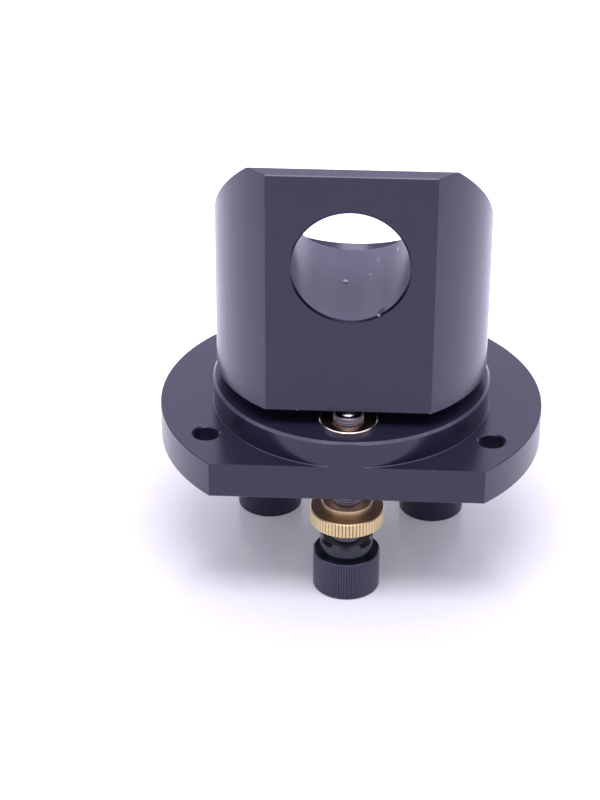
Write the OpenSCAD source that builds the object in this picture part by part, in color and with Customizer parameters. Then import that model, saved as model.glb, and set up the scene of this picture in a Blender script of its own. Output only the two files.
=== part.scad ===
// Kinematic 45 degree optics mount: a flanged base with three fine adjusters that carry a tilting head.
// Z is up, the front faces -Y, and the origin is the centre of the flange's upper face, on the head's axis.

/* [Base] */
// Diameter of the flange
flange_d = 63.5; // [56:0.5:76]
// Thickness of the flange
flange_t = 6.1; // [5.1:0.1:10]
// Width of the flange's ledge round the boss
boss_ledge = 8.75; // [7.5:0.05:10]
// Height of the boss above the flange
boss_h = 4.6; // [3:0.1:8]
// Fillet left at the foot of the boss
boss_fillet = 0.15; // [0.1:0.05:0.5]
// Chamfer on the upper edge of the boss
boss_break = 0.4; // [0.1:0.05:0.6]
// Distance from the front adjuster's axis to the flat at the front of the base
base_flat_edge = 6.6; // [5.5:0.05:8]
// Distance from the centre of a mounting hole to the flange's edge
bolt_edge = 5; // [3.5:0.1:5.5]
// Diameter of a mounting hole
bolt_hole_d = 4.3; // [3:0.1:5]

/* [Head] */
// How far the head stands in from the boss all round
head_step = 0.7; // [0:0.1:1.5]
// Gap between the boss and the head with the adjusters in mid travel
head_gap = 2.8; // [2.6:0.1:4]
// Height of the aperture's axis above the head's underside
axis_h = 25.6; // [21.3:0.1:31]
// Distance from the front adjuster's axis to the flat at the front of the head
head_flat_edge = 1.75; // [1.4:0.05:4]
// Depth of the narrow land on top, from the front flat to the sloping face
land_w = 2.6; // [1:0.1:4]
// Diameter of the aperture through the front
aperture_d = 18.4; // [12:0.1:22]
// Chamfer at the aperture's front mouth
aperture_break = 0.3; // [0.1:0.05:0.6]
// Diameter of the optic recess in the sloping face
recess_d = 26; // [22:0.1:30]
// Depth of the optic recess
recess_depth = 1.7; // [1:0.1:3]

/* [Adjusters] */
// Distance from an adjuster's axis to the edge of the boss
adjuster_inset = 6.75; // [6:0.05:8]
// Thread diameter of an adjuster screw
screw_d = 5; // [4:0.1:6]
// Outer diameter of the bushing pressed in the base
bushing_d = 7.5; // [7:0.1:9]
// Diameter of the bushing's rim
bushing_rim_d = 9.4; // [9.1:0.1:11]
// Thickness of the bushing's rim
bushing_rim_t = 0.67; // [0.4:0.01:0.9]
// Gap between the flange and the lock nut
nut_gap = 3.65; // [3.2:0.05:8]
// Diameter of the lock nut's knurled rim
nut_d = 12.2; // [10.2:0.1:14.6]
// Height of the lock nut's knurled rim
nut_rim_h = 2.65; // [1.5:0.05:5]
// Diameter of the lock nut's collar
nut_collar_d = 8.5; // [7:0.1:9.6]
// Height of the lock nut's collar
nut_collar_h = 1.5; // [0.8:0.05:3]
// Chamfer on the lock nut's collar
nut_collar_chamfer = 0.15; // [0.1:0.05:0.7]
// Gap between the lock nut and the knob
knob_gap = 3.05; // [2.5:0.05:8]
// Diameter of the knob's knurled body
knob_d = 11; // [9.2:0.1:13.2]
// Height of the knob's knurled body
knob_h = 6.8; // [5.5:0.1:12]
// Diameter of the knob's neck
knob_neck_d = 8.7; // [7:0.1:9.2]
// Height of the knob's neck
knob_neck_h = 2.6; // [1.2:0.1:4]
// Width of the bevel round the top of the knob's neck
knob_neck_bevel = 0.5; // [0.1:0.05:0.8]
// Thickness of the knob below the end of its screw
knob_floor = 2.4; // [1:0.1:4]

/* [Tips and seats] */
// Diameter of the hardened tip
tip_d = 4.2; // [3.5:0.1:4.5]
// Radius of the tip's dome
tip_dome_r = 3.2; // [3:0.1:4]
// Diameter of the tip's shank in the screw
tip_shank_d = 2.6; // [1.6:0.1:3]
// Length of the tip's shank
tip_shank_l = 3; // [2:0.5:6]
// Diameter of the cone seat and of the vee seat
seat_d = 6; // [5:0.1:6.8]
// Length of the cone seat and of the vee seat
seat_l = 4.7; // [3.5:0.1:8]
// How far these two seats stand out of the head
seat_proud = 0.7; // [0.6:0.05:0.75]
// Diameter of the flat seat
pad_d = 2.5; // [1.5:0.1:2.6]
// Length of the flat seat
pad_l = 2.5; // [1.5:0.5:6]

/* [Springs] */
// How far the springs stand in from the circle of the adjusters
spring_inset = 4.75; // [4:0.05:5.5]
// Outer diameter of a spring
spring_d = 4; // [3:0.1:4.4]
// Wire diameter of a spring
wire_d = 0.45; // [0.3:0.05:0.6]
// Radial clearance of a spring in its hole
spring_clearance = 0.6; // [0.3:0.05:0.8]
// Wall left between the rear spring's hole and the sloping face, along Z
spring_wall = 1.5; // [1:0.1:3]
// Diameter of the pins at the lower ends of the springs
pin_d = 1.5; // [1:0.1:1.5]
// Length of these pins
pin_l = 9; // [7:0.5:11]
// Length of the posts' plugs in the head
post_plug_l = 3; // [2:0.5:4]

/* [Finish] */
// Chamfer on the turned edges of the flange and the head
body_break = 0.1; // [0.05:0.05:0.5]
// Chamfer on the edges of the small turned pieces
edge_break = 0.2; // [0.1:0.05:0.5]
// Chamfer on the edges of the milled flats
flat_break = 0.15; // [0.05:0.05:0.3]
// Chamfer at the mouths of holes
hole_break = 0.25; // [0.1:0.05:0.4]
// Number of knurl teeth round a lock nut
nut_teeth = 66; // [40:1:90]
// Depth of a lock nut's knurl
nut_knurl_depth = 0.2; // [0.05:0.01:0.3]
// Number of knurl teeth round a knob
knob_teeth = 80; // [40:1:90]
// Depth of a knob's knurl
knob_knurl_depth = 0.1; // [0.05:0.01:0.3]
// Share of a knurl tooth that is a flat land
knurl_land = 0.65; // [0.2:0.05:0.7]
// Radial clearance of a screw in its bushing and its lock nut
thread_clearance = 0.05; // [0.02:0.01:0.1]
// Radial clearance of a tip's shank in its screw
tip_clearance = 0.05; // [0.02:0.01:0.1]
// Gap between a tip and its seat
seat_clearance = 0.1; // [0.05:0.01:0.12]

/* [Hidden] */

$fn = 96;
cut = 100;       // reach of a cutting solid
eps = 0.01;      // overshoot of a cut past the face that it opens

// Angles round the axis, counted from the front.
front_a = 0;
right_a = 120;
left_a = -120;
rear_spring_a = 180;
right_spring_a = 60;
left_spring_a = -60;

// Diameters and circles that step in from the flange.
bolt_circle_d = flange_d - 2 * bolt_edge;
boss_d = flange_d - 2 * boss_ledge;
head_d = boss_d - 2 * head_step;
adjuster_r = boss_d / 2 - adjuster_inset;
spring_r = adjuster_r - spring_inset;
spring_hole_d = spring_d + 2 * spring_clearance;
base_flat_y = adjuster_r + base_flat_edge;
head_flat_y = adjuster_r + head_flat_edge;

// Heights of the base and the head.
flange_z = -flange_t;
head_z = boss_h + head_gap;
slope_z = head_z + axis_h;                // the sloping face and the aperture cross on the axis here
head_top = slope_z + head_flat_y - land_w;

// Heights of an adjuster, from its tip down.
tip_top = head_z - seat_clearance;
dome_z = tip_top - tip_dome_r;            // centre of the tip's dome
tip_edge_z = dome_z + sqrt(pow(tip_dome_r, 2) - pow(tip_d / 2, 2));
tip_rim_h = 0.15;                         // straight edge of the tip below its dome
screw_top = tip_edge_z - tip_rim_h;
nut_top = flange_z - nut_gap;
nut_rim_top = nut_top - nut_collar_h;
nut_bottom = nut_rim_top - nut_rim_h;
knob_top = nut_bottom - knob_gap;
knob_body_top = knob_top - knob_neck_h;
knob_bottom = knob_body_top - knob_h;
screw_bottom = knob_bottom + knob_floor;

// The cone and the vee open at 120 degrees and clear the dome by the seat clearance.
seat_half_angle = 60;
seat_apex_z = dome_z + (tip_dome_r + seat_clearance) / sin(seat_half_angle);
seat_z = head_z - seat_proud;
seat_mouth_r = (seat_apex_z - seat_z) * tan(seat_half_angle);

// Heights and sizes of the springs' ends.
loop_r = pin_d / 2 + wire_d / 2 + 0.07;   // mean radius of a spring's end loop
pin_z = flange_z + loop_r + wire_d / 2 + 0.2;
spring_hole_top = slope_z - spring_r - spring_hole_d / 2 - spring_wall;
tongue_l = 2.2;
tongue_t = 0.8;
tongue_w = 2.6;
eye_d = wire_d + 0.3;
eye_z = spring_hole_top - post_plug_l - tongue_l + eye_d / 2 + 0.45;
upper_loop_z = eye_z - loop_r;
coil_bottom = pin_z + loop_r + wire_d / 2;
coil_top = upper_loop_z - loop_r - wire_d / 2;

// Puts a piece at radius r and angle a round the axis.
module at(r, a)
    rotate([0, 0, a])
        translate([0, -r, 0])
            children();

// A turned cylinder from z0 to z1 with a chamfer at each end.
module turned(r, z0, z1, low = 0, high = 0)
    rotate_extrude()
        polygon([
            [0, z0],
            [r - low, z0],
            [r, z0 + low],
            [r, z1 - high],
            [r - high, z1],
            [0, z1],
        ]);

// A round cut that runs down from height z, with a chamfered mouth there.
module hole_down(r, z, depth, mouth = hole_break)
    translate([0, 0, z]) {
        translate([0, 0, -depth])
            cylinder(r = r, h = depth + eps);
        translate([0, 0, -mouth])
            cylinder(r1 = r, r2 = r + mouth + eps, h = mouth + eps);
    }

// The outline of a straight knurl: each tooth is a land between two corners, and then a vee groove.
function knurl_outline(r, teeth, depth) = [
    for (i = [0 : teeth - 1], corner = [-1, 1, 2])
        let (
            a = (i + (corner == 2 ? 0.5 : corner * knurl_land / 2)) * 360 / teeth,
            q = corner == 2 ? r - depth : r
        )
            [q * cos(a), q * sin(a)]
];

// A cylinder with a straight knurl and chamfered ends.
module knurled(r, z0, z1, teeth, depth)
    intersection() {
        translate([0, 0, z0])
            linear_extrude(z1 - z0)
                polygon(knurl_outline(r, teeth, depth));
        turned(r + depth, z0, z1, depth + edge_break, depth + edge_break);
    }

module base()
    color([0.17, 0.16, 0.21])
        difference() {
            union() {
                turned(flange_d / 2, flange_z, 0, body_break, body_break);
                turned(boss_d / 2, flange_z + 1, boss_h, 0, boss_break);
                cylinder(r1 = boss_d / 2 + boss_fillet, r2 = boss_d / 2, h = boss_fillet);
            }
            translate([-cut / 2, -cut - base_flat_y, -cut / 2])
                cube([cut, cut, cut]);
            flat_edge_cut(base_flat_y, flange_z);
            for (a = [right_spring_a, rear_spring_a, left_spring_a])
                at(bolt_circle_d / 2, a) {
                    hole_down(bolt_hole_d / 2, 0, flange_t + eps);
                    mirror([0, 0, 1])
                        hole_down(bolt_hole_d / 2, flange_t, flange_t / 2);
                }
            for (a = [front_a, right_a, left_a])
                at(adjuster_r, a)
                    translate([0, 0, flange_z - eps])
                        cylinder(d = bushing_d, h = flange_t + boss_h + 2 * eps);
            for (a = [right_spring_a, rear_spring_a, left_spring_a])
                at(spring_r, a) {
                    hole_down(spring_hole_d / 2, boss_h, flange_t + boss_h + eps);
                    pin_groove();
                }
        }

// A chamfer along X on the edge of a front flat at height z.
module flat_edge_cut(flat_y, z)
    translate([0, -flat_y, z])
        rotate([45, 0, 0])
            cube([cut, flat_break * sqrt(2), flat_break * sqrt(2)], center = true);

// The groove under a spring hole in which the spring's pin lies.
module pin_groove()
    translate([-pin_l / 2 - 0.1, -pin_d / 2, flange_z - eps])
        cube([pin_l + 0.2, pin_d, pin_z + pin_d / 2 - flange_z + eps]);

module head()
    color([0.2, 0.19, 0.25])
        difference() {
            turned(head_d / 2, head_z, head_top, body_break, body_break);
            translate([-cut / 2, -cut - head_flat_y, 0])
                cube([cut, cut, cut]);
            flat_edge_cut(head_flat_y, head_z);
            flat_edge_cut(head_flat_y, head_top);
            slope_cut();
            aperture_cut();
            recess_cut();
            at(adjuster_r, front_a)
                translate([0, 0, head_z - eps])
                    cylinder(d = pad_d, h = pad_l + eps);
            for (a = [right_a, left_a])
                at(adjuster_r, a)
                    translate([0, 0, head_z - eps])
                        cylinder(d = seat_d, h = seat_l - seat_proud + eps);
            for (a = [right_spring_a, rear_spring_a, left_spring_a])
                at(spring_r, a)
                    translate([0, 0, head_z])
                        mirror([0, 0, 1])
                            hole_down(spring_hole_d / 2, 0, spring_hole_top - head_z);
        }

// Everything above the 45 degree plane that crosses the axis at slope_z.
module slope_cut()
    translate([0, 0, slope_z])
        rotate([-45, 0, 0])
            translate([-cut / 2, -cut / 2, 0])
                cube([cut, cut, cut]);

// The aperture along Y, with a chamfered mouth at the front flat.
module aperture_cut()
    translate([0, -head_flat_y, slope_z])
        rotate([-90, 0, 0])
            translate([0, 0, -eps]) {
                cylinder(d = aperture_d, h = cut);
                cylinder(
                    d1 = aperture_d + 2 * aperture_break + 2 * eps,
                    d2 = aperture_d,
                    h = aperture_break + eps
                );
            }

// The round recess, square to the sloping face.
module recess_cut()
    translate([0, 0, slope_z])
        rotate([-45, 0, 0])
            translate([0, 0, -recess_depth])
                cylinder(d = recess_d, h = cut);

module bushing(a)
    color([0.72, 0.55, 0.33])
        at(adjuster_r, a)
            difference() {
                union() {
                    turned(bushing_rim_d / 2, boss_h, boss_h + bushing_rim_t, 0, 0.12);
                    turned(bushing_d / 2, flange_z, boss_h + eps, 0, 0);
                }
                translate([0, 0, flange_z - eps])
                    cylinder(r = screw_d / 2 + thread_clearance, h = cut);
            }

module screw(a)
    color([0.62, 0.62, 0.66])
        at(adjuster_r, a)
            difference() {
                turned(screw_d / 2, screw_bottom, screw_top, 0.3, 0.2);
                translate([0, 0, screw_top - tip_shank_l - tip_clearance])
                    cylinder(r = tip_shank_d / 2 + tip_clearance, h = cut);
            }

module tip(a)
    color([0.85, 0.85, 0.88])
        at(adjuster_r, a)
            union() {
                intersection() {
                    translate([0, 0, dome_z])
                        sphere(r = tip_dome_r);
                    translate([0, 0, screw_top])
                        cylinder(d = tip_d, h = tip_dome_r);
                }
                translate([0, 0, screw_top - tip_shank_l])
                    cylinder(d = tip_shank_d, h = tip_shank_l + eps);
            }

module lock_nut(a)
    color([0.82, 0.69, 0.45])
        at(adjuster_r, a)
            difference() {
                union() {
                    knurled(nut_d / 2, nut_bottom, nut_rim_top, nut_teeth, nut_knurl_depth);
                    turned(nut_collar_d / 2, nut_bottom + 1, nut_top, 0, nut_collar_chamfer);
                }
                translate([0, 0, nut_bottom - eps])
                    cylinder(r = screw_d / 2 + thread_clearance, h = cut);
                mirror([0, 0, 1])
                    hole_down(screw_d / 2 + thread_clearance, -nut_bottom, 1);
            }

module knob(a)
    color([0.13, 0.13, 0.17])
        at(adjuster_r, a)
            difference() {
                union() {
                    knurled(knob_d / 2, knob_bottom, knob_body_top, knob_teeth, knob_knurl_depth);
                    turned(knob_neck_d / 2, knob_bottom + 1, knob_top, 0, knob_neck_bevel);
                }
                translate([0, 0, screw_bottom])
                    cylinder(d = screw_d, h = cut);
            }

// The seat over the front tip: a small hardened pad, flush with the head's underside.
module flat_seat()
    color([0.6, 0.6, 0.64])
        at(adjuster_r, front_a)
            translate([0, 0, head_z])
                cylinder(d = pad_d, h = pad_l);

module seat_blank()
    turned(seat_d / 2, seat_z, seat_z + seat_l, 0.2, 0);

// The seat over the left tip: a conical socket.
module cone_seat()
    color([0.6, 0.6, 0.64])
        at(adjuster_r, left_a)
            difference() {
                seat_blank();
                translate([0, 0, seat_z - 1])
                    cylinder(
                        r1 = seat_mouth_r + tan(seat_half_angle),
                        r2 = 0,
                        h = seat_apex_z - seat_z + 1
                    );
            }

// The seat over the right tip: a groove that points at the cone seat.
module vee_seat()
    color([0.6, 0.6, 0.64])
        at(adjuster_r, right_a)
            difference() {
                seat_blank();
                rotate([90, 0, 90 - right_a])
                    translate([0, 0, -seat_d])
                        linear_extrude(2 * seat_d)
                            polygon([
                                [0, seat_apex_z],
                                [-seat_mouth_r - tan(seat_half_angle), seat_z - 1],
                                [seat_mouth_r + tan(seat_half_angle), seat_z - 1],
                            ]);
            }

// One end loop of a spring, with its axis along the pin.
module spring_loop(z)
    translate([0, 0, z])
        rotate([0, 90, 0])
            rotate_extrude()
                translate([loop_r, 0])
                    circle(d = wire_d, $fn = 24);

// A close-wound extension spring: the coils as one tube, and a loop at each end.
module spring(a)
    color([0.7, 0.7, 0.72])
        at(spring_r, a) {
            difference() {
                translate([0, 0, coil_bottom - wire_d])
                    cylinder(d = spring_d, h = coil_top - coil_bottom + 2 * wire_d);
                translate([0, 0, coil_bottom])
                    cylinder(d = spring_d - 2 * wire_d, h = coil_top - coil_bottom);
            }
            spring_loop(pin_z);
            spring_loop(upper_loop_z);
        }

// The upper anchor of a spring: a plug pressed in the head, and a tongue with an eye for the loop.
module spring_post(a)
    color([0.55, 0.55, 0.58])
        at(spring_r, a)
            difference() {
                union() {
                    translate([0, 0, spring_hole_top - post_plug_l])
                        cylinder(d = spring_hole_d, h = post_plug_l);
                    translate([-tongue_w / 2, -tongue_t / 2, spring_hole_top - post_plug_l - tongue_l])
                        cube([tongue_w, tongue_t, tongue_l + eps]);
                }
                translate([0, 0, eye_z])
                    rotate([90, 0, 0])
                        cylinder(d = eye_d, h = 2 * tongue_t, center = true, $fn = 32);
            }

// The lower anchor of a spring: a pin that lies in the groove across the spring hole.
module spring_pin(a)
    color([0.55, 0.55, 0.58])
        at(spring_r, a)
            translate([0, 0, pin_z])
                rotate([0, 90, 0])
                    cylinder(d = pin_d, h = pin_l, center = true);

base();
head();
bushing(front_a);  // front_bushing
bushing(left_a);  // left_bushing
bushing(right_a);  // right_bushing
screw(front_a);  // front_screw
screw(left_a);  // left_screw
screw(right_a);  // right_screw
tip(front_a);  // front_tip
tip(left_a);  // left_tip
tip(right_a);  // right_tip
knob(front_a);  // front_knob
knob(left_a);  // left_knob
knob(right_a);  // right_knob
lock_nut(front_a);  // front_lock_nut
lock_nut(left_a);  // left_lock_nut
lock_nut(right_a);  // right_lock_nut
flat_seat();
cone_seat();
vee_seat();
spring(rear_spring_a);  // rear_spring
spring(left_spring_a);  // left_spring
spring(right_spring_a);  // right_spring
spring_post(rear_spring_a);  // rear_spring_post
spring_post(left_spring_a);  // left_spring_post
spring_post(right_spring_a);  // right_spring_post
spring_pin(rear_spring_a);  // rear_spring_pin
spring_pin(left_spring_a);  // left_spring_pin
spring_pin(right_spring_a);  // right_spring_pin
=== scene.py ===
"""The looks of a kinematic mirror mount: finishes, threads, springs and a pale stage."""

import math

import bmesh
import bpy
from bpy.props import FloatProperty, FloatVectorProperty, IntProperty, PointerProperty
from mathutils import Matrix, Vector


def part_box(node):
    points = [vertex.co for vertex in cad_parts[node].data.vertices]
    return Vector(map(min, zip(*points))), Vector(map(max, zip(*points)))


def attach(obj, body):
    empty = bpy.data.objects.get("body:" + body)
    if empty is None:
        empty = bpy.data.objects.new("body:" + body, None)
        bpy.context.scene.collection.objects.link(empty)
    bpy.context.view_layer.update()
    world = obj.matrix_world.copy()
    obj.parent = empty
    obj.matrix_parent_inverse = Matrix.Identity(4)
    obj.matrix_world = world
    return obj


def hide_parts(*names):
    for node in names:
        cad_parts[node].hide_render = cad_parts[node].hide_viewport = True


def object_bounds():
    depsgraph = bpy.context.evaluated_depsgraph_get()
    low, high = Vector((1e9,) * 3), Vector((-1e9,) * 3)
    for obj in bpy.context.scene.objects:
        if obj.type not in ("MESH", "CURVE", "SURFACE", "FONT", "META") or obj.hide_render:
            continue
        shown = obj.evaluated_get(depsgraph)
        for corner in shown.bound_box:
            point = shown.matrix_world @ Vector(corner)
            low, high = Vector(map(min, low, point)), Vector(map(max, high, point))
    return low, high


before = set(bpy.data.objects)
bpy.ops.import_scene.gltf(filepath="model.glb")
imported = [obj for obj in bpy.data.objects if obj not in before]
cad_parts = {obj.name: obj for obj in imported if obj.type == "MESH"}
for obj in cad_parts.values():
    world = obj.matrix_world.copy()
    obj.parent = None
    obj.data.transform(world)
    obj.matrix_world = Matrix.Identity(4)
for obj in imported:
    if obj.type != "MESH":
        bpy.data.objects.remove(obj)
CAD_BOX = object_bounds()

bl_info = {
    "name": "Kinematic Mirror Mount",
    "version": (1, 0, 0),
    "blender": (4, 5, 0),
    "location": "3D View > Sidebar > Mirror Mount",
    "description": "Finishes a kinematic mirror mount and sets it on a pale stage",
    "category": "Object",
}

MM = 0.001
MERGE_DISTANCE = 1e-7

# The adjusters, and the springs with the body that each one moves with.
SIDES = ("front", "left", "right")
SPRING_BODIES = {"rear": "rear_spring", "left": "left_spring", "right": "head"}

# Colours of wear, dirt, zones, painted highlights and painted shade, beside the ones that the
# settings hold.
DUST = (0.3, 0.29, 0.36)
BARE_METAL_AND_HIGHLIGHT = (0.42, 0.41, 0.48)
PAINTED_SHADE_BLACK = (0.006, 0.0055, 0.012)
BORED = (0.032, 0.0305, 0.07)
BRASS_TOP_SHADE = (0.56, 0.38, 0.25)
NECK = (0.008, 0.012, 0.02)
PALE_BRONZE_HIGHLIGHT = (0.95, 0.82, 0.72)
THREAD_ROOT_SHADE = (0.2, 0.17, 0.18)
BLACK = (0.0, 0.0, 0.0)
FLOOR = (0.85, 0.837, 0.885)
PALE_WHITE = (0.92, 0.9, 1.0)
PALE_VIOLET = (0.82, 0.79, 1.0)

# Scales of the noise textures, per metre.
CLOUD_SCALE = 90.0
BLOTCH_SCALE = 420.0
PATCH_SCALE = 700.0
GRAIN_SCALE = 6000.0
TOOL_MARK_SCALE = 9000.0

# The anodised oxide.
OXIDE_IOR = 1.6
OXIDE_SHEEN_ROUGHNESS = 0.3
OXIDE_SHEEN_TINT = (0.85, 0.83, 1.0)

# Sizes of the features that the finishes follow.
BOSS_RADIUS = 23 * MM
BOSS_BREAK = 0.4 * MM
BORE_RADIUS = 9.2 * MM
BORE_HEIGHT = 33 * MM
MOUTH_BREAK = 0.3 * MM
RECESS_RADIUS = 13.05 * MM
RECESS_DEPTH = 1.7 * MM
EDGE_WIDTH = 0.2 * MM
TIP_RADIUS = 1.8 * MM
NUT_COLLAR_HEIGHT = 1.5 * MM
KNOB_NECK_HEIGHT = 2.6 * MM
SPRING_RADIUS = 2 * MM

# The turns of a spring are this many wires apart, and its hooks go this far round.
COIL_PITCH = 1.01
HOOK_ANGLE = math.radians(290)

# Nicks and painted shadows on the head: the middle and half size of each in millimetres, and for a
# nick how bare it is. The first nick is a painted highlight on the top of a speck in the bore. The
# first shadow is that speck's painted shadow, and the second is painted shade just inside the
# mouth's lower right.
HEAD_NICKS_AND_HIGHLIGHT = (
    ((-1.1, -4.4, 23.9), (0.5, 0.45, 0.4), 1.0),
    ((2.9, -2.8, 24.3), (0.3, 0.3, 0.3), 0.5),
    ((4.1, 1.8, 24.75), (0.35, 1.5, 0.4), 0.15),
    ((7.2, 0.6, 27.3), (0.35, 0.4, 0.35), 0.9),
    ((4.45, -17.9, 24.95), (0.35, 0.4, 0.3), 0.9),
    ((-8.8, -18.0, 32.4), (0.2, 0.2, 0.2), 0.6),
    ((-8.2, -18.0, 7.45), (0.3, 0.2, 0.2), 0.9),
    ((13.0, -18.0, 7.4), (0.3, 0.3, 0.25), 0.9),
)
HEAD_PAINTED_SHADOWS = (
    ((-1.0, -5.35, 23.85), (0.5, 0.42, 0.4)),
    ((5.0, -17.0, 25.2), (1.0, 1.1, 0.7)),
)


# ---------------------------------------------------------------- settings


class AnodiseSettings(bpy.types.PropertyGroup):
    """The black anodised finish of the base, the head and the knobs."""

    colour: FloatVectorProperty(
        name="Head colour",
        description="Colour of the dyed oxide on the head",
        subtype="COLOR",
        min=0,
        max=1,
        default=(0.0185, 0.017, 0.044),
    )
    base_colour: FloatVectorProperty(
        name="Base colour",
        description="Colour of the dyed oxide on the base",
        subtype="COLOR",
        min=0,
        max=1,
        default=(0.0192, 0.0181, 0.0405),
    )
    knob_colour: FloatVectorProperty(
        name="Knob colour",
        description="Colour of the dyed oxide on the knobs",
        subtype="COLOR",
        min=0,
        max=1,
        default=(0.044, 0.042, 0.08),
    )
    roughness: FloatProperty(
        name="Roughness",
        description="Roughness of the etched and sealed surface",
        subtype="FACTOR",
        min=0,
        max=1,
        default=0.23,
    )
    sheen: FloatProperty(
        name="Sheen",
        description="Pale haze of the etched surface at a glancing view",
        subtype="FACTOR",
        min=0,
        max=1,
        default=0.2,
    )
    gloss_tint: FloatVectorProperty(
        name="Gloss tint",
        description="Tint of what the oxide reflects when seen square on",
        subtype="COLOR",
        min=0,
        max=1,
        default=(0.83, 0.81, 1.0),
    )
    tool_mark_depth: FloatProperty(
        name="Tool marks",
        description="Height of the fine lines that turning and milling leave",
        unit="LENGTH",
        min=0,
        max=0.0001,
        default=0.000004,
        precision=6,
    )


class MetalSettings(bpy.types.PropertyGroup):
    """The colours of the bare metals."""

    bronze: FloatVectorProperty(
        name="Bronze",
        description="Colour of the bushings",
        subtype="COLOR",
        min=0,
        max=1,
        default=(0.66, 0.45, 0.31),
    )
    brass: FloatVectorProperty(
        name="Brass",
        description="Colour of the lock nuts",
        subtype="COLOR",
        min=0,
        max=1,
        default=(0.765, 0.625, 0.38),
    )
    steel: FloatVectorProperty(
        name="Steel",
        description="Colour of the screws, seats, springs, posts and pins",
        subtype="COLOR",
        min=0,
        max=1,
        default=(0.45, 0.43, 0.46),
    )
    polished: FloatVectorProperty(
        name="Polished steel",
        description="Colour of the hardened tips",
        subtype="COLOR",
        min=0,
        max=1,
        default=(0.55, 0.54, 0.6),
    )


class ThreadSettings(bpy.types.PropertyGroup):
    """The fine thread of the adjuster screws."""

    pitch: FloatProperty(
        name="Pitch",
        description="Advance of the thread in one turn",
        unit="LENGTH",
        min=0.0002,
        max=0.001,
        default=0.0005,
        precision=5,
    )
    depth: FloatProperty(
        name="Depth",
        description="Depth of the thread, from crest to root",
        unit="LENGTH",
        min=0.0001,
        max=0.0006,
        default=0.00028,
        precision=5,
    )
    segments: IntProperty(
        name="Segments",
        description="Steps in one turn of the thread",
        min=12,
        max=96,
        default=36,
    )
    end_length: FloatProperty(
        name="Plain end",
        description="Length of the plain, chamfered end under the tip",
        unit="LENGTH",
        min=0.0001,
        max=0.001,
        default=0.0003,
        precision=5,
    )


class SpringSettings(bpy.types.PropertyGroup):
    """The close-wound extension springs."""

    wire: FloatProperty(
        name="Wire",
        description="Diameter of the spring wire",
        unit="LENGTH",
        min=0.0003,
        max=0.0006,
        default=0.00045,
        precision=5,
    )
    points_per_turn: IntProperty(
        name="Points in a turn",
        description="Points along one turn of the coil",
        min=8,
        max=48,
        default=16,
    )


class StageSettings(bpy.types.PropertyGroup):
    """The camera, the floor and the lights."""

    azimuth: FloatProperty(
        name="Azimuth",
        description="Angle of the camera round the object, from the front",
        subtype="ANGLE",
        default=math.radians(2.7),
    )
    elevation: FloatProperty(
        name="Elevation",
        description="Angle of the camera above the horizon",
        subtype="ANGLE",
        default=math.radians(30.15),
    )
    roll: FloatProperty(
        name="Roll",
        description="Turn of the camera about its own line of sight",
        subtype="ANGLE",
        default=math.radians(0.2),
    )
    distance: FloatProperty(
        name="Distance",
        description="Distance from the camera to the point that it looks at",
        unit="LENGTH",
        default=0.398,
    )
    target: FloatVectorProperty(
        name="Target",
        description="Point that the camera looks at",
        subtype="TRANSLATION",
        default=(-0.00854, 0.0, -0.00108),
        precision=5,
    )
    lens: FloatProperty(
        name="Lens",
        description="Focal length, for a sensor 36 mm along its long side",
        subtype="DISTANCE_CAMERA",
        default=106.9,
    )
    floor_size: FloatProperty(
        name="Floor size",
        description="Width of the floor",
        unit="LENGTH",
        default=3.0,
    )
    sweep_start: FloatProperty(
        name="Sweep start",
        description="Distance behind the object at which the floor starts to curve up",
        unit="LENGTH",
        default=0.7,
    )
    sweep_radius: FloatProperty(
        name="Sweep radius",
        description="Radius of the floor's curve into the backdrop",
        unit="LENGTH",
        default=0.3,
    )
    sweep_height: FloatProperty(
        name="Sweep height",
        description="Height of the backdrop above the floor",
        unit="LENGTH",
        default=0.4,
    )
    floor_glow: FloatProperty(
        name="Floor glow",
        description="White that the eye, gloss and glass see in the floor above its lit colour",
        min=0,
        max=1,
        default=0.19,
    )
    far_floor_glow: FloatProperty(
        name="Far floor glow",
        description="The same white at the sides and behind, where the floor is brightest",
        min=0,
        max=1,
        default=0.85,
    )
    sky_colour: FloatVectorProperty(
        name="Sky colour",
        description="Tint of the surroundings",
        subtype="COLOR",
        min=0,
        max=1,
        default=(0.72, 0.69, 1.0),
    )
    sky_strength: FloatProperty(
        name="Sky strength",
        description="Brightness of the surroundings",
        min=0,
        default=0.35,
    )
    lamp_colour: FloatVectorProperty(
        name="Lamp colour",
        description="Colour of the lamps overhead and in front",
        subtype="COLOR",
        min=0,
        max=1,
        default=(1.0, 0.98, 1.0),
    )
    back_colour: FloatVectorProperty(
        name="Back colour",
        description="Colour of the lamp behind",
        subtype="COLOR",
        min=0,
        max=1,
        default=(0.88, 0.85, 1.0),
    )
    overhead_power: FloatProperty(
        name="Overhead power",
        description="Power of the wide soft lamp overhead",
        unit="POWER",
        min=0,
        default=7.0,
    )
    back_power: FloatProperty(
        name="Back power",
        description="Power of the soft lamp behind",
        unit="POWER",
        min=0,
        default=0.68,
    )
    front_power: FloatProperty(
        name="Front power",
        description="Power of the soft lamp high in front",
        unit="POWER",
        min=0,
        default=1.9,
    )


# ---------------------------------------------------------------- shader maths


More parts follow.
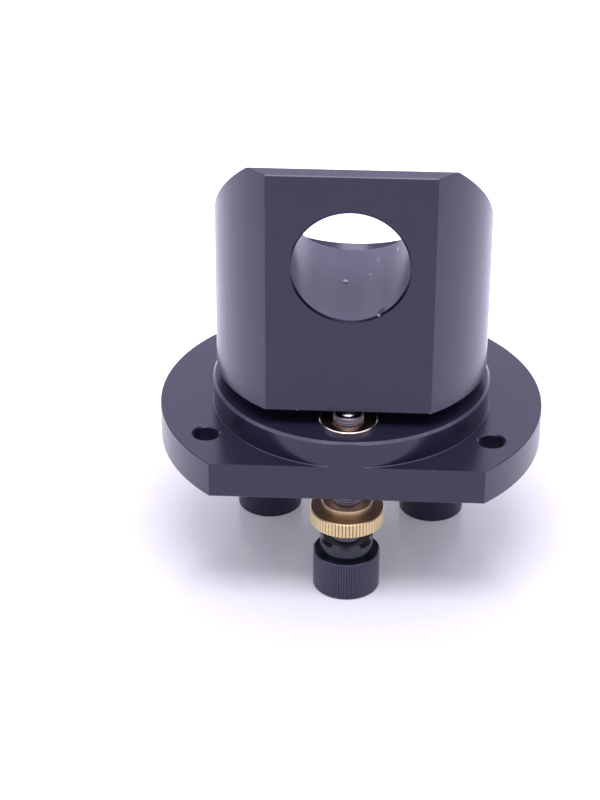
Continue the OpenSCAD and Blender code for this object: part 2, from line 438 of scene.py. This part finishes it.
class Value:
    """A shader socket to write Python expressions on. Each operator adds its Math node."""

    def __init__(self, shader, socket):
        self.shader = shader
        self.socket = socket

    def math(self, operation, *values):
        return self.shader.node("ShaderNodeMath", {"operation": operation}, dict(enumerate(values)))

    def __add__(self, other):
        return self.math("ADD", self, other)

    def __radd__(self, other):
        return self.math("ADD", other, self)

    def __sub__(self, other):
        return self.math("SUBTRACT", self, other)

    def __rsub__(self, other):
        return self.math("SUBTRACT", other, self)

    def __mul__(self, other):
        return self.math("MULTIPLY", self, other)

    def __rmul__(self, other):
        return self.math("MULTIPLY", other, self)

    def __pow__(self, other):
        return self.math("POWER", self, other)

    def root(self):
        return self.math("SQRT", self)

    def largest(self, other):
        return self.math("MAXIMUM", self, other)

    def above(self, low, high):
        """0 below low, 1 above high, and smooth between."""
        settings = {"interpolation_type": "SMOOTHSTEP", "clamp": True}
        return self.shader.node(
            "ShaderNodeMapRange", settings, {"Value": self, "From Min": low, "From Max": high}
        )


class Shader:
    """A material being written, round one Principled BSDF."""

    def __init__(self, name):
        self.material = bpy.data.materials.new(name)
        self.material.use_nodes = True
        self.tree = self.material.node_tree
        self.bsdf = self.tree.nodes["Principled BSDF"]
        self.place = self.node("ShaderNodeTexCoord", output="Object")

    def node(self, kind, settings=None, inputs=None, output=0):
        """Adds a node with its settings, then its sockets' values or links. Returns one output."""
        made = self.tree.nodes.new(kind)
        for name, setting in (settings or {}).items():
            setattr(made, name, setting)
        for key, given in (inputs or {}).items():
            self.give(made.inputs[key], given)
        return Value(self, made.outputs[output])

    def give(self, socket, given):
        """Links a Value to a socket, or sets the socket's own number, colour or vector."""
        if isinstance(given, Value):
            self.tree.links.new(given.socket, socket)
        elif socket.type == "RGBA":
            socket.default_value = (*given, 1.0)[:4]
        else:
            socket.default_value = given

    def surface(self, **inputs):
        """Gives the Principled BSDF its inputs; an underscore in a name stands for a space."""
        for name, given in inputs.items():
            self.give(self.bsdf.inputs[name.replace("_", " ")], given)

    def xyz(self):
        """The three coordinates of the point being shaded, in metres."""
        parts = self.node("ShaderNodeSeparateXYZ", inputs={0: self.place}).socket.node
        return [Value(self, socket) for socket in parts.outputs]

    def vector(self, x, y, z):
        return self.node("ShaderNodeCombineXYZ", inputs={0: x, 1: y, 2: z})

    def noise(self, where, scale, detail=2.0, roughness=0.5):
        inputs = {"Vector": where, "Scale": scale, "Detail": detail, "Roughness": roughness}
        return self.node("ShaderNodeTexNoise", inputs=inputs)

    def mix(self, factor, low, high):
        """A colour between low and high."""
        settings = {"data_type": "RGBA", "clamp_factor": True}
        mixed = self.node("ShaderNodeMix", settings, {"Factor": factor}, output=2)
        sockets = [s for s in mixed.socket.node.inputs if s.type == "RGBA"]
        self.give(sockets[0], low)
        self.give(sockets[1], high)
        return mixed

    def bump(self, height, distance):
        inputs = {"Height": height, "Strength": 1.0, "Distance": distance}
        return self.node("ShaderNodeBump", inputs=inputs)

    def spot(self, centre_mm, size_mm):
        """1 inside an ellipsoid, and 0 outside it, from its middle and half size in millimetres."""
        centre = [length * MM for length in centre_mm]
        stretch = [1.0 / (length * MM) for length in size_mm]
        offset = self.node(
            "ShaderNodeVectorMath", {"operation": "SUBTRACT"}, {0: self.place, 1: centre}
        )
        stretched = self.node(
            "ShaderNodeVectorMath", {"operation": "MULTIPLY"}, {0: offset, 1: stretch}
        )
        away = self.node(
            "ShaderNodeVectorMath", {"operation": "LENGTH"}, {0: stretched}, output="Value"
        )
        return 1.0 - away.above(0.6, 1.0)


def shade(share, colour):
    """A colour made darker or lighter by a share."""
    return tuple(min(1.0, c * share) for c in colour)


# ---------------------------------------------------------------- materials


def from_axis(shader, centre):
    """The distance of the point being shaded from a vertical axis, and its height."""
    x, y, z = shader.xyz()
    return ((x - centre[0]) ** 2 + (y - centre[1]) ** 2).root(), z


def tool_marks(shader, centre):
    """Fine lines round a vertical axis: rings on a faced surface, and hoops on a turned wall."""
    away, z = from_axis(shader, centre)
    lines = shader.vector(away * TOOL_MARK_SCALE, 0.0, z * TOOL_MARK_SCALE)
    return shader.noise(lines, 1.0, detail=3.0, roughness=0.6)


def dust(shader, size=0.07 * MM, scale=500.0):
    """Sparse pale specks of a given size, with a given number of cells to the metre."""
    near = shader.node(
        "ShaderNodeTexVoronoi", {"feature": "F1"}, {"Vector": shader.place, "Scale": scale}
    )
    return 1.0 - near.above(0.5 * size * scale, size * scale)


def worn_edge(shader, distance, along, width):
    """Broken bare patches on an edge, from the distance to it and the way along it."""
    strip = shader.vector(along * PATCH_SCALE, 0.0, 0.0)
    patches = shader.noise(strip, 1.0, detail=4.0, roughness=0.7)
    return (1.0 - distance.above(0.4 * width, width)) * patches.above(0.5, 0.68)


def anodised(name, colour, settings, marks, centre=(0.0, 0.0), other=BORED, rougher=0.0):
    """Black anodised aluminium: a dyed satin oxide, faintly mottled, over tool marks.

    marks takes the shader and returns three masks: bare metal together with painted highlights,
    painted shade, and a zone of the other colour whose surface is rougher by the given amount. 0 is
    a mask that isn't there.
    """
    shader = Shader(name)
    cloud = shader.noise(shader.place, CLOUD_SCALE, detail=3.0)
    blotch = shader.noise(shader.place, BLOTCH_SCALE, detail=4.0, roughness=0.6)
    grain = shader.noise(shader.place, GRAIN_SCALE, detail=1.0)
    lines = tool_marks(shader, centre)
    bare_and_highlight, painted_shade, zone = marks(shader)
    tone = cloud * 0.35 + blotch * 0.3 + lines * 0.35
    base = shader.mix(tone, shade(0.7, colour), shade(1.35, colour))
    base = shader.mix(dust(shader) * 0.6, base, DUST)
    base = shader.mix(zone, base, other)
    # Bare metal and the painted highlights share one pale colour.
    base = shader.mix(bare_and_highlight, base, BARE_METAL_AND_HIGHLIGHT)
    # Painted shade: the shade mask is painted near black.
    base = shader.mix(painted_shade, base, PAINTED_SHADE_BLACK)
    rough = settings.roughness + 0.1 * (cloud - 0.5) + 0.08 * (grain - 0.5) + rougher * zone
    height = lines + 0.35 * grain
    shader.surface(
        Base_Color=base,
        Roughness=rough,
        # The painted shade is metallic too, so that it reflects almost nothing.
        Metallic=painted_shade,
        Normal=shader.bump(height, settings.tool_mark_depth),
        IOR=OXIDE_IOR,
        Specular_Tint=settings.gloss_tint,
        Sheen_Weight=settings.sheen,
        Sheen_Roughness=OXIDE_SHEEN_ROUGHNESS,
        Sheen_Tint=OXIDE_SHEEN_TINT,
    )
    return shader


def turned_metal(
    name,
    colour,
    roughness,
    centre=(0.0, 0.0),
    depth=0.0015 * MM,
    tarnish=0.12,
    zone=None,
    zone_colour=None,
):
    """A bare turned metal: rings and hoops from the tool, with a little tarnish.

    zone takes the shader and returns the mask of a part that has the zone's colour.
    """
    shader = Shader(name)
    lines = tool_marks(shader, centre)
    cloud = shader.noise(shader.place, PATCH_SCALE, detail=3.0)
    tone = cloud.above(0.35, 0.75) * 0.7 + lines * 0.3
    base = shader.mix(tone, colour, shade(1 - tarnish, colour))
    if zone:
        base = shader.mix(zone(shader), base, zone_colour)
    rough = roughness + 0.1 * (lines - 0.5) + 0.08 * (cloud - 0.5)
    shader.surface(Base_Color=base, Metallic=1.0, Roughness=rough, Normal=shader.bump(lines, depth))
    return shader


def paint(name, material):
    """Gives a CAD node its material."""
    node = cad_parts[name]
    node.data.materials.clear()
    node.data.materials.append(material)


# ---------------------------------------------------------------- meshes


def centre_of(node):
    """The middle of a CAD node's box."""
    low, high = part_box(node)
    return (low + high) / 2


def everything(bm):
    return bm.verts[:] + bm.edges[:] + bm.faces[:]


def only(kind, geometry):
    """The vertices or the edges in what a bmesh operator gives back."""
    return [item for item in geometry if isinstance(item, kind)]


def add_object(name, data):
    """Puts a mesh, curve, camera or lamp in the scene."""
    made = bpy.data.objects.new(name, data)
    bpy.context.scene.collection.objects.link(made)
    return made


def add_mesh(bm, name, material):
    """Closes a bmesh, turns its normals out, and puts it in the scene as a smooth object."""
    bmesh.ops.remove_doubles(bm, verts=bm.verts, dist=MERGE_DISTANCE)
    bmesh.ops.recalc_face_normals(bm, faces=bm.faces)
    mesh = bpy.data.meshes.new(name)
    bm.to_mesh(mesh)
    bm.free()
    mesh.materials.append(material)
    mesh.shade_smooth()
    return add_object(name, mesh)


def finish_mesh(bm, name, material, body, replaced):
    """Stores a bmesh as a piece that moves with a body and stands in for a CAD node."""
    piece = add_mesh(bm, name, material)
    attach(piece, body)
    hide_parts(replaced)


def threaded_rod(bm, axis, low, high, radius, thread):
    """A threaded rod from height low to high round a vertical axis, with flat ends."""
    start = low - thread.pitch
    crest, root = radius, radius - thread.depth
    # One turn in section: each corner's radius, and its height as a share of the pitch.
    profile = [(root, 0.0), (root, 0.12), (crest, 0.44), (crest, 0.68), (root, 1.0)]
    verts = [
        bm.verts.new((axis.x + r, axis.y, start + share * thread.pitch)) for r, share in profile
    ]
    edges = [bm.edges.new(pair) for pair in zip(verts, verts[1:])]
    bmesh.ops.spin(
        bm,
        geom=verts + edges,
        cent=axis,
        axis=(0, 0, 1),
        dvec=(0, 0, thread.pitch / thread.segments),
        angle=2 * math.pi,
        steps=thread.segments,
        use_merge=False,
    )
    length = thread.pitch
    # Each copy doubles the rod, until it is longer than it has to be and can be cut.
    while start + length < high + thread.pitch:
        copy = bmesh.ops.duplicate(bm, geom=everything(bm))
        bmesh.ops.translate(bm, verts=only(bmesh.types.BMVert, copy["geom"]), vec=(0, 0, length))
        length *= 2
    bmesh.ops.remove_doubles(bm, verts=bm.verts, dist=MERGE_DISTANCE)
    for height, inner, outer in ((low, True, False), (high, False, True)):
        cut = bmesh.ops.bisect_plane(
            bm,
            geom=everything(bm),
            plane_co=(0, 0, height),
            plane_no=(0, 0, 1),
            clear_inner=inner,
            clear_outer=outer,
        )
        bmesh.ops.holes_fill(bm, edges=only(bmesh.types.BMEdge, cut["geom_cut"]), sides=0)


def turned_end(bm, axis, low, high, radius, chamfer):
    """A plain end with a chamfered upper edge, as a closed shell."""
    made = bmesh.ops.create_cone(
        bm, cap_ends=True, segments=64, radius1=radius, radius2=radius, depth=high - low
    )
    bmesh.ops.translate(bm, verts=made["verts"], vec=(axis.x, axis.y, (low + high) / 2))
    top = [
        e
        for e in {e for v in made["verts"] for e in v.link_edges}
        if all(abs(v.co.z - high) < MERGE_DISTANCE for v in e.verts)
    ]
    bmesh.ops.bevel(
        bm,
        geom=top,
        offset=chamfer,
        affect="EDGES",
        segments=1,
        profile=0.5,
        material=-1,
        offset_type="OFFSET",
    )


def spring_path(low_loop, high_loop, loop_radius, coil_radius, outward, wire, per_turn):
    """The centreline of an extension spring: a hook, close turns, and a hook."""
    coil_low = low_loop.z + loop_radius + wire / 2
    coil_high = high_loop.z - loop_radius - wire / 2
    turns = round((coil_high - coil_low) / (COIL_PITCH * wire))
    sideways = Vector((-outward.y, outward.x, 0))
    up = Vector((0, 0, 1))
    hook = [HOOK_ANGLE * (i / per_turn - 1) for i in range(per_turn + 1)]
    points = [low_loop + loop_radius * (outward * math.cos(a) + up * math.sin(a)) for a in hook]
    for i in range(turns * per_turn + 1):
        angle = 2 * math.pi * i / per_turn
        height = coil_low + (coil_high - coil_low) * i / (turns * per_turn)
        ring = outward * math.cos(angle) + sideways * math.sin(angle)
        points.append(Vector((low_loop.x, low_loop.y, height)) + ring * coil_radius)
    points += [
        high_loop + loop_radius * (outward * math.cos(a) - up * math.sin(a)) for a in reversed(hook)
    ]
    # Each pass rounds off the places where the hooks meet the coil.
    for _ in range(3):
        soft = [(a + 2 * b + c) / 4 for a, b, c in zip(points, points[1:], points[2:])]
        points = (
            [points[0]]
            + soft[: 2 * per_turn]
            + points[2 * per_turn + 1 : -2 * per_turn - 1]
            + soft[-2 * per_turn :]
            + [points[-1]]
        )
    return points


# ---------------------------------------------------------------- operators


class FinishBase(bpy.types.Operator):
    """Gives the base its anodised finish, worn along the boss's edge, with a painted highlight
    along the edge's break
    """

    bl_idname = "mirror_mount.finish_base"
    bl_label = "Finish the base"

    def execute(self, context):
        settings = context.scene.mount_anodise
        shader = anodised("anodised_base", settings.base_colour, settings, self.marks)
        paint("base", shader.material)
        return {"FINISHED"}

    def marks(self, shader):
        x, y, z = shader.xyz()
        radius = (x * x + y * y).root()
        off = ((radius - BOSS_RADIUS) ** 2 + (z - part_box("base")[1].z) ** 2).root()
        worn = worn_edge(shader, off, x, 0.5 * MM)
        # Painted highlight: the whole break of the boss's edge is painted a little paler.
        edge_highlight = 1.0 - off.above(BOSS_BREAK, 1.1 * BOSS_BREAK)
        return (worn * 0.4).largest(edge_highlight * 0.1), 0.0, 0.0


class FinishHead(bpy.types.Operator):
    """Gives the head its anodised finish, with its worn edge, nicks and specks, painted shade at
    the mouth and under a speck, and painted highlights on the recess wall and the speck
    """

    bl_idname = "mirror_mount.finish_head"
    bl_label = "Finish the head"

    def execute(self, context):
        settings = context.scene.mount_anodise
        shader = anodised("anodised_head", settings.colour, settings, self.marks, rougher=0.14)
        paint("head", shader.material)
        return {"FINISHED"}

    def marks(self, shader):
        low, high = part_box("head")
        x, y, z = shader.xyz()
        across = (x * x + (z - BORE_HEIGHT) ** 2).root()
        in_bore = 1.0 - across.above(BORE_RADIUS, BORE_RADIUS + 0.06 * MM)
        top_edge = ((y - low.y) ** 2 + (z - high.z) ** 2).root()
        bare_and_highlight = worn_edge(shader, top_edge, x, 0.16 * MM) * 0.3
        # Painted highlight: the recess wall is painted a little paler, as a light band.
        bare_and_highlight = bare_and_highlight.largest(0.03 * self.recess_highlight(x, y, z))
        # The first of these is a painted highlight on the top of a speck in the bore.
        for centre, size, share in HEAD_NICKS_AND_HIGHLIGHT:
            bare_and_highlight = bare_and_highlight.largest(share * shader.spot(centre, size))
        # Painted shade along the lower half of the mouth's edge.
        painted_shade = 0.85 * self.mouth_shade(across, y - low.y, z)
        # Painted shadows: the speck's shadow, and shade just inside the mouth's lower right.
        for centre, size in HEAD_PAINTED_SHADOWS:
            painted_shade = painted_shade.largest(0.8 * shader.spot(centre, size))
        return bare_and_highlight, painted_shade * (1.0 - bare_and_highlight), in_bore

    def mouth_shade(self, across, behind_flat, z):
        """Painted shade: a near black line along the lower half of the broken edge where the bore
        meets the front flat.
        """
        ring = 1.0 - across.above(BORE_RADIUS + MOUTH_BREAK, BORE_RADIUS + MOUTH_BREAK + 0.1 * MM)
        ring = ring * (1.0 - behind_flat.above(0.22 * MM, 0.34 * MM))
        return ring * (1.0 - z.above(BORE_HEIGHT - 5 * MM, BORE_HEIGHT + 2 * MM))

    def recess_highlight(self, x, y, z):
        """A painted light band: the round wall of the recess in the slope, and more faintly its
        floor, painted a little paler.
        """
        depth = (y + z - BORE_HEIGHT) * math.sqrt(0.5)
        down_slope = (z - y - BORE_HEIGHT) * math.sqrt(0.5)
        from_middle = (x * x + down_slope * down_slope).root()
        above_floor = depth.above(-RECESS_DEPTH - 0.04 * MM, -RECESS_DEPTH + 0.04 * MM)
        below_slope = 1.0 - depth.above(-0.3 * MM, -0.2 * MM)
        in_round = 1.0 - from_middle.above(RECESS_RADIUS, RECESS_RADIUS + 0.1 * MM)
        return above_floor * below_slope * in_round


class FinishBushings(bpy.types.Operator):
    """Gives the three bushings their turned bronze, with a painted highlight round the outer edge
    """

    bl_idname = "mirror_mount.finish_bushings"
    bl_label = "Finish the bushings"

    def execute(self, context):
        colour = context.scene.mount_metal.bronze
        for side in SIDES:
            node = f"{side}_bushing"
            centre = centre_of(node)
            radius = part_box(node)[1].x - centre.x

            # Painted highlight: within EDGE_WIDTH of the outer radius the bronze is painted paler.
            def edge(shader, centre=centre, radius=radius):
                away, _ = from_axis(shader, centre)
                return away.above(radius - EDGE_WIDTH - 0.1 * MM, radius - EDGE_WIDTH)

            shader = turned_metal(
                f"bronze_{side}", colour, 0.24, centre, zone=edge, zone_colour=PALE_BRONZE_HIGHLIGHT
            )
            paint(node, shader.material)
        return {"FINISHED"}


class MakeScrews(bpy.types.Operator):
    """Cuts the fine thread of the three adjuster screws, with painted shade in its roots"""

    bl_idname = "mirror_mount.make_screws"
    bl_label = "Make the screws"

    def execute(self, context):
        thread = context.scene.mount_thread
        colour = context.scene.mount_metal.steel
        for side in SIDES:
            node = f"{side}_screw"
            low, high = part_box(node)
            axis = centre_of(node)
            radius = high.x - axis.x

            # Painted shade: the thread's roots are painted darker.
            def roots(shader, axis=axis, radius=radius):
                away, _ = from_axis(shader, axis)
                return 1.0 - away.above(radius - thread.depth, radius - 0.4 * thread.depth)

            shader = turned_metal(
                f"screw_steel_{side}", colour, 0.3, axis, zone=roots, zone_colour=THREAD_ROOT_SHADE
            )
            bm = bmesh.new()
            shoulder = high.z - thread.end_length
            threaded_rod(bm, axis, low.z, shoulder, radius, thread)
            root = radius - thread.depth * 0.6
            turned_end(bm, axis, shoulder - thread.pitch, high.z, root, thread.end_length * 0.5)
            finish_mesh(
                bm, f"{side}_threaded_screw", shader.material, f"{side}_knob", node
            )
        return {"FINISHED"}


class FinishTips(bpy.types.Operator):
    """Polishes the hardened tips, with painted shade round the foot of the dome"""

    bl_idname = "mirror_mount.finish_tips"
    bl_label = "Finish the tips"

    def execute(self, context):
        colour = context.scene.mount_metal.polished
        for side in SIDES:
            node = f"{side}_tip"
            centre = centre_of(node)

            # Painted shade: beyond TIP_RADIUS from the axis the tip is painted near black, as the
            # gap round the dome.
            def shaded_rim(shader, centre=centre):
                away, _ = from_axis(shader, centre)
                return away.above(TIP_RADIUS, TIP_RADIUS + 0.1 * MM)

            shader = turned_metal(
                f"polished_{side}", colour, 0.25, centre, 0.001 * MM, zone=shaded_rim, zone_colour=PAINTED_SHADE_BLACK
            )
            paint(node, shader.material)
        return {"FINISHED"}


class FinishLockNuts(bpy.types.Operator):
    """Gives the three lock nuts their turned and knurled brass, with painted shade on their upper
    faces
    """

    bl_idname = "mirror_mount.finish_lock_nuts"
    bl_label = "Finish the lock nuts"

    def execute(self, context):
        colour = context.scene.mount_metal.brass
        for side in SIDES:
            node = f"{side}_lock_nut"
            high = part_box(node)[1]
            centre = centre_of(node)
            radius = high.x - centre.x

            # Painted shade: the upper faces are painted a darker brass, as a painted dark
            # reflection of the flange's underside above them.
            def shaded_tops(shader, high=high, centre=centre, radius=radius):
                away, z = from_axis(shader, centre)
                step = z.above(high.z - NUT_COLLAR_HEIGHT - 0.1 * MM, high.z - NUT_COLLAR_HEIGHT)
                outside_collar = away.above(0.7 * radius, 0.72 * radius)
                inside_knurl = 1.0 - away.above(0.985 * radius, 0.99 * radius)
                collar_top = z.above(high.z - 0.08 * MM, high.z - 0.03 * MM)
                return (step * outside_collar * inside_knurl).largest(collar_top)

            shader = turned_metal(
                f"brass_{side}", colour, 0.34, centre, zone=shaded_tops, zone_colour=BRASS_TOP_SHADE
            )
            paint(node, shader.material)
        return {"FINISHED"}


class FinishKnobs(bpy.types.Operator):
    """Gives the three knobs their anodised finish"""

    bl_idname = "mirror_mount.finish_knobs"
    bl_label = "Finish the knobs"

    def execute(self, context):
        settings = context.scene.mount_anodise
        for side in SIDES:
            node = f"{side}_knob"
            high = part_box(node)[1]
            centre = centre_of(node)
            radius = high.x - centre.x

            def marks(shader, high=high, centre=centre, radius=radius):
                away, z = from_axis(shader, centre)
                shelf = high.z - KNOB_NECK_HEIGHT
                inside = 1.0 - away.above(0.985 * radius, 0.995 * radius)
                neck = inside * z.above(shelf - 0.1 * MM, shelf)
                edge = ((away - radius) ** 2 + (z - shelf) ** 2).root()
                # The bare patches are wear, and they also stand in for highlight spots along the
                # edge: partly painted highlight.
                worn = worn_edge(shader, edge, shader.xyz()[0], EDGE_WIDTH)
                return worn * 0.5, 0.0, neck

            name = f"anodised_knob_{side}"
            shader = anodised(
                name, settings.knob_colour, settings, marks, centre, other=NECK, rougher=-0.08
            )
            paint(node, shader.material)
        return {"FINISHED"}


class FinishSmallSteel(bpy.types.Operator):
    """Gives the seats, posts and pins their ground steel"""

    bl_idname = "mirror_mount.finish_small_steel"
    bl_label = "Finish the seats, posts and pins"

    def execute(self, context):
        colour = context.scene.mount_metal.steel
        shader = turned_metal("ground_steel", colour, 0.32, tarnish=0.2)
        nodes = ["flat_seat", "cone_seat", "vee_seat"]
        for side in SPRING_BODIES:
            nodes += [f"{side}_spring_post", f"{side}_spring_pin"]
        for node in nodes:
            paint(node, shader.material)
        return {"FINISHED"}


class MakeSprings(bpy.types.Operator):
    """Winds the three extension springs"""

    bl_idname = "mirror_mount.make_springs"
    bl_label = "Make the springs"

    def execute(self, context):
        settings = context.scene.mount_spring
        wire = settings.wire
        colour = context.scene.mount_metal.steel
        shader = turned_metal("spring_steel", colour, 0.3, tarnish=0.25)
        for side, body in SPRING_BODIES.items():
            node = f"{side}_spring"
            low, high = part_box(node)
            middle = centre_of(node)
            outward = Vector((middle.x, middle.y, 0)).normalized()
            pin_z = centre_of(f"{side}_spring_pin").z
            loop_radius = pin_z - low.z - wire / 2
            low_loop = Vector((middle.x, middle.y, pin_z))
            high_loop = Vector((middle.x, middle.y, high.z - loop_radius - wire / 2))
            path = spring_path(
                low_loop,
                high_loop,
                loop_radius,
                SPRING_RADIUS - wire / 2,
                outward,
                wire,
                settings.points_per_turn,
            )
            curve = bpy.data.curves.new(f"{side}_wound_spring", "CURVE")
            curve.dimensions = "3D"
            curve.bevel_depth = wire / 2
            curve.bevel_resolution = 2
            curve.use_fill_caps = True
            spline = curve.splines.new("POLY")
            spline.points.add(len(path) - 1)
            for point, place in zip(spline.points, path):
                point.co = (*place, 1.0)
            spline.use_smooth = True
            curve.materials.append(shader.material)
            piece = add_object(f"{side}_wound_spring", curve)
            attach(piece, body)
            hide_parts(node)
        return {"FINISHED"}


class MakeStage(bpy.types.Operator):
    """Sets the camera, the pale floor and backdrop, the surroundings and the lamps"""

    bl_idname = "mirror_mount.make_stage"
    bl_label = "Make the stage"

    def execute(self, context):
        settings = context.scene.mount_stage
        self.make_camera(context, settings)
        self.make_floor(settings)
        self.make_sky(context, settings)
        neutral, violet = settings.lamp_colour, settings.back_colour
        # Each lamp points at the origin from its place.
        for name, place, size, power, colour in (
            ("overhead_lamp", (0.0, 0.0, 0.7), (2.0, 1.0), settings.overhead_power, neutral),
            ("back_lamp", (0.0, 0.45, 0.3), (0.5, 0.5), settings.back_power, violet),
            ("front_lamp", (0.0, -0.18, 0.61), (0.4, 0.25), settings.front_power, neutral),
        ):
            self.make_lamp(name, place, size, power, colour)
        context.scene.view_settings.view_transform = "Standard"
        return {"FINISHED"}

    def make_camera(self, context, settings):
        azimuth, elevation = settings.azimuth, settings.elevation
        level = Vector((math.sin(azimuth), -math.cos(azimuth), 0.0)) * math.cos(elevation)
        back = level + Vector((0.0, 0.0, math.sin(elevation)))
        camera = bpy.data.cameras.new("camera")
        camera.sensor_width = 36.0
        camera.lens = settings.lens
        camera.clip_start = 0.01
        holder = add_object("camera", camera)
        turn = (-back).to_track_quat("-Z", "Y").to_matrix()
        turn = turn @ Matrix.Rotation(settings.roll, 3, "Z")
        holder.matrix_world = turn.to_4x4()
        holder.location = Vector(settings.target) + back * settings.distance
        context.scene.camera = holder

    def make_floor(self, settings):
        half = settings.floor_size / 2
        level = CAD_BOX[0].z
        curve = settings.sweep_radius
        bm = bmesh.new()
        ends = [bm.verts.new((-half, y, level)) for y in (-half, settings.sweep_start)]
        self.extrude(bm, [bm.edges.new(ends)], (settings.floor_size, 0, 0))
        back = [e for e in bm.edges if all(v.co.y > 0 for v in e.verts)]
        bmesh.ops.spin(
            bm,
            geom=back + [v for e in back for v in e.verts],
            cent=(0, settings.sweep_start, level + curve),
            axis=(1, 0, 0),
            angle=math.pi / 2,
            steps=16,
            use_merge=False,
        )
        top = [e for e in bm.edges if all(v.co.z > level + 0.999 * curve for v in e.verts)]
        self.extrude(bm, top, (0, 0, settings.sweep_height - curve))
        floor = add_mesh(bm, "floor", self.floor_material(settings))

    def extrude(self, bm, edges, way):
        made = bmesh.ops.extrude_edge_only(bm, edges=edges)
        bmesh.ops.translate(bm, verts=only(bmesh.types.BMVert, made["geom"]), vec=way)

    def floor_material(self, settings):
        """A pale gloss, with white added for camera, glossy and transmission rays."""
        shader = Shader("white_floor")
        eye, gloss, glass = [
            shader.node("ShaderNodeLightPath", output=f"Is {kind} Ray")
            for kind in ("Camera", "Glossy", "Transmission")
        ]
        x, y, _ = shader.xyz()
        far = (x * x).root().above(0.04, 0.08).largest(y.above(0.02, 0.08))
        glow = shader.mix(
            far,
            shade(settings.floor_glow, PALE_WHITE),
            shade(settings.far_floor_glow, PALE_VIOLET),
        )
        shader.surface(
            Base_Color=FLOOR,
            Roughness=0.15,
            Emission_Color=shader.mix(eye.largest(gloss).largest(glass), BLACK, glow),
            Emission_Strength=1.0,
        )
        return shader.material

    def make_sky(self, context, settings):
        world = bpy.data.worlds.new("pale_surroundings")
        world.use_nodes = True
        sky = world.node_tree.nodes["Background"]
        sky.inputs["Color"].default_value = (*settings.sky_colour, 1.0)
        sky.inputs["Strength"].default_value = settings.sky_strength
        context.scene.world = world

    def make_lamp(self, name, place, size, power, colour):
        data = bpy.data.lights.new(name, "AREA")
        data.shape = "RECTANGLE"
        data.size, data.size_y = size
        data.energy = power
        data.color = colour
        lamp = add_object(name, data)
        lamp.location = place
        lamp.rotation_euler = (-Vector(place)).to_track_quat("-Z", "Y").to_euler()


class MirrorMountPanel(bpy.types.Panel):
    """Lists the steps that finish the mount"""

    bl_idname = "VIEW3D_PT_mirror_mount"
    bl_label = "Mirror Mount"
    bl_space_type = "VIEW_3D"
    bl_region_type = "UI"
    bl_category = "Mirror Mount"

    def draw(self, context):
        for group in SETTINGS:
            box = self.layout.box()
            box.label(text=group.replace("mount_", "").capitalize())
            settings = getattr(context.scene, group)
            for name in settings.__annotations__:
                box.prop(settings, name)
        for step in STEPS:
            self.layout.operator(step.bl_idname)


SETTINGS = {
    "mount_anodise": AnodiseSettings,
    "mount_metal": MetalSettings,
    "mount_thread": ThreadSettings,
    "mount_spring": SpringSettings,
    "mount_stage": StageSettings,
}
STEPS = (
    MakeStage,
    FinishBase,
    FinishHead,
    FinishBushings,
    MakeScrews,
    FinishTips,
    FinishLockNuts,
    FinishKnobs,
    FinishSmallSteel,
    MakeSprings,
)


def register():
    for group, kind in SETTINGS.items():
        bpy.utils.register_class(kind)
        setattr(bpy.types.Scene, group, PointerProperty(type=kind))
    for kind in (*STEPS, MirrorMountPanel):
        bpy.utils.register_class(kind)


def unregister():
    for kind in (MirrorMountPanel, *reversed(STEPS)):
        bpy.utils.unregister_class(kind)
    for group, kind in reversed(SETTINGS.items()):
        delattr(bpy.types.Scene, group)
        bpy.utils.unregister_class(kind)


def main():
    register()
    for step in STEPS:
        family, name = step.bl_idname.split(".")
        getattr(getattr(bpy.ops, family), name)()


if __name__ == "__main__":
    main()
